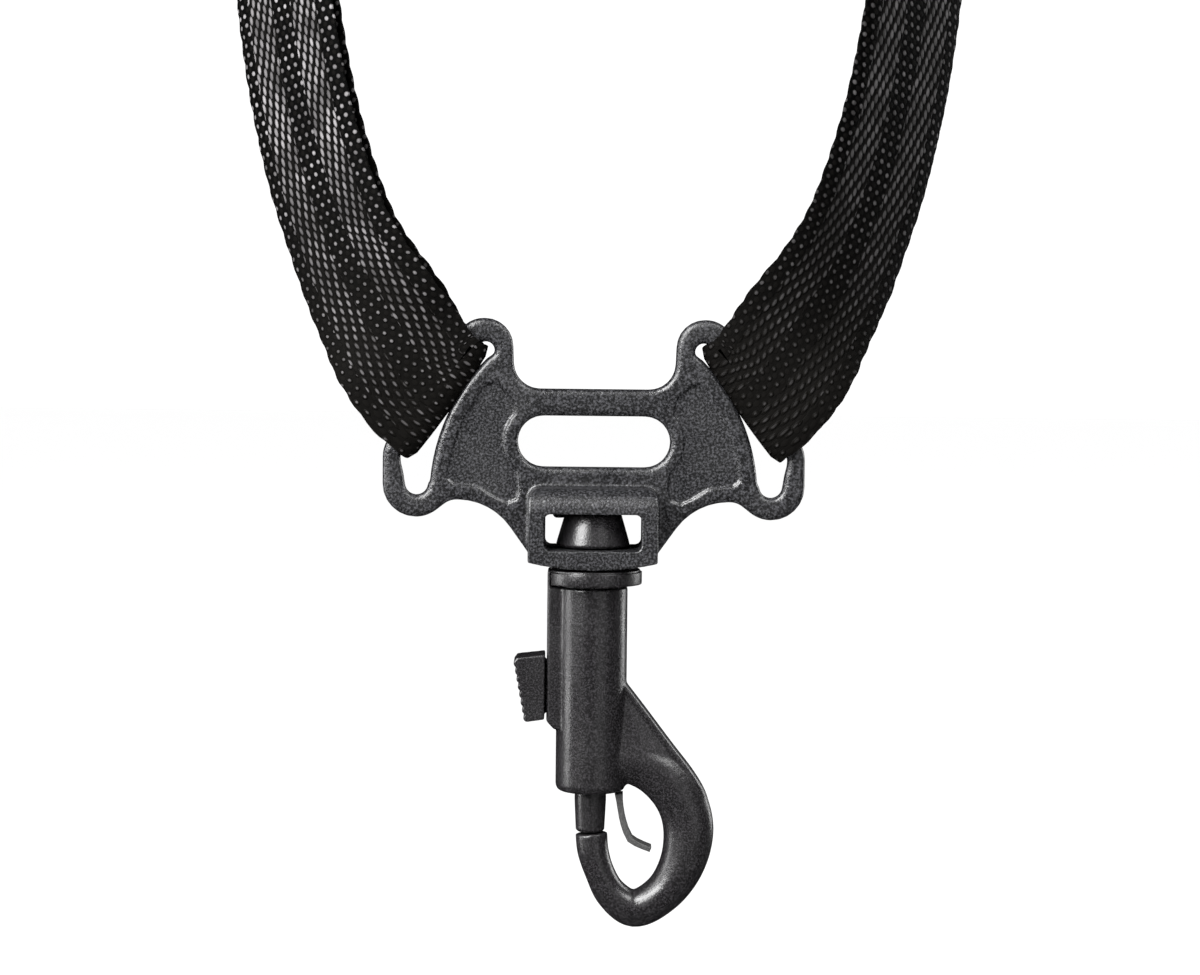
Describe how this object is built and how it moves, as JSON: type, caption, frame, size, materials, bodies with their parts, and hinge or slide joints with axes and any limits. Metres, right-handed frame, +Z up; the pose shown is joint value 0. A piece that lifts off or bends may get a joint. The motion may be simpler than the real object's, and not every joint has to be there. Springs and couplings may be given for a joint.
{
  "type": "saxophone neck strap",
  "caption": "Adjustable webbing neck strap with a moulded yoke, a slide adjuster and a swivelling bolt snap hook for a saxophone's ring.",
  "frame": {"origin": "the middle of the webbing's inner face where it rests on the back of the neck", "axes": "+Z up as worn, the strap's front faces -Y, and X runs across the chest with the slide adjuster on -X"},
  "size_m": [0.169, 0.1566, 0.3597],
  "materials": {
    "webbing": "black woven herringbone webbing",
    "thread": "black bonded sewing thread",
    "yoke_plastic": "black moulding with a spark-eroded texture",
    "hook_plastic": "black moulding, fine satin texture",
    "slide_plastic": "black moulding, satin",
    "spring_wire": "drawn spring wire"
  },
  "bodies": {
    "strap": {"webbing": "webbing", "webbing_return": "webbing", "yoke": "yoke_plastic", "end_tack_upper_needle_thread": "thread", "end_tack_upper_bobbin_thread": "thread", "end_tack_lower_needle_thread": "thread", "end_tack_lower_bobbin_thread": "thread"},
    "slide": {"slide_adjuster": "slide_plastic", "slide_tack_upper_needle_thread": "thread", "slide_tack_upper_bobbin_thread": "thread", "slide_tack_lower_needle_thread": "thread", "slide_tack_lower_bobbin_thread": "thread"},
    "hook": {"swivel_stud": "hook_plastic", "hook_body": "hook_plastic", "bolt_spring": "spring_wire"},
    "latch": {"latch_bolt": "hook_plastic"},
    "tongue": {"ring_tongue": "hook_plastic"}
  },
  "joints": [
    {"name": "slide_along_webbing", "type": "slide", "parent": "strap", "child": "slide", "axis": [-0.1302, 0.3167, 0.9395], "range_m": [-0.028, 0.03], "deforming": ["webbing_return"]},
    {"name": "hook_swivel", "type": "hinge", "parent": "strap", "child": "hook", "pos_m": [0, -0.14425, -0.281], "axis": [0, 0, 1], "continuous": true},
    {"name": "latch_slide", "type": "slide", "parent": "hook", "child": "latch", "axis": [0, 0, 1], "range_m": [0, 0.007], "stiffness_N_per_m": 250, "springref_m": -0.006, "deforming": ["bolt_spring"]},
    {"name": "tongue_hinge", "type": "hinge", "parent": "hook", "child": "tongue", "pos_m": [0.00515, -0.14425, -0.32275], "axis": [0, 1, 0], "range_deg": [-8, 7], "stiffness_Nm_per_rad": 0.002}
  ]
}
